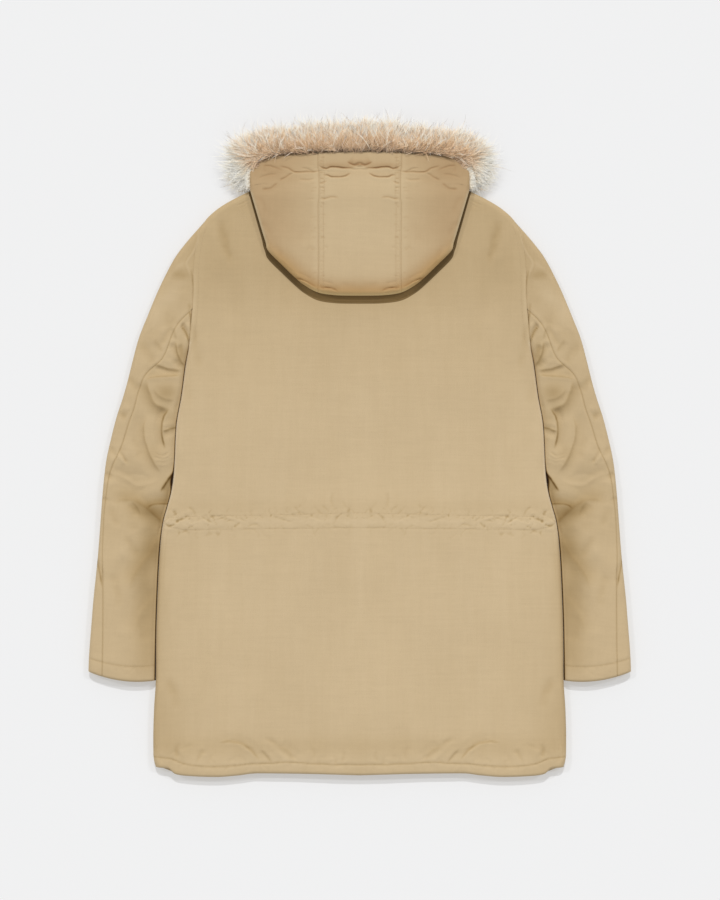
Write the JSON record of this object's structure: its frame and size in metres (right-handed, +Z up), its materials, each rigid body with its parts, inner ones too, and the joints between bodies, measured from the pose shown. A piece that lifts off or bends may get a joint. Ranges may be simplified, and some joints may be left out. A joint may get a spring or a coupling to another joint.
{
  "type": "fur trimmed parka",
  "caption": "Hooded winter parka laid flat on its front, back up, its hood folded back, with a fur trim round the hood's opening and a drawcord channel stitched across the waist.",
  "frame": {"origin": "middle of the coat's box, on the surface that it lies on", "axes": "+Z up from the surface to the coat's back, +Y from the hem to the hood, +X to the coat's right sleeve as seen from above"},
  "size_m": [0.7894, 0.9647, 0.0333],
  "materials": {
    "shell_twill": "matte cotton-blend twill",
    "fur": "long mixed fur",
    "thread": "matte sewing thread",
    "lining": "plain woven lining"
  },
  "bodies": {
    "root": {"back": "shell_twill", "front_left": "shell_twill", "front_right": "shell_twill", "front_flap": "shell_twill", "sleeve_top_left": "shell_twill", "sleeve_top_right": "shell_twill", "sleeve_under_left": "shell_twill", "sleeve_under_right": "shell_twill", "hood_center": "shell_twill", "hood_side_left": "shell_twill", "hood_side_right": "shell_twill", "hood_throat_left": "shell_twill", "hood_throat_right": "shell_twill", "fur_trim_top": "fur", "fur_trim_under": "fur"}
  },
  "joints": []
}
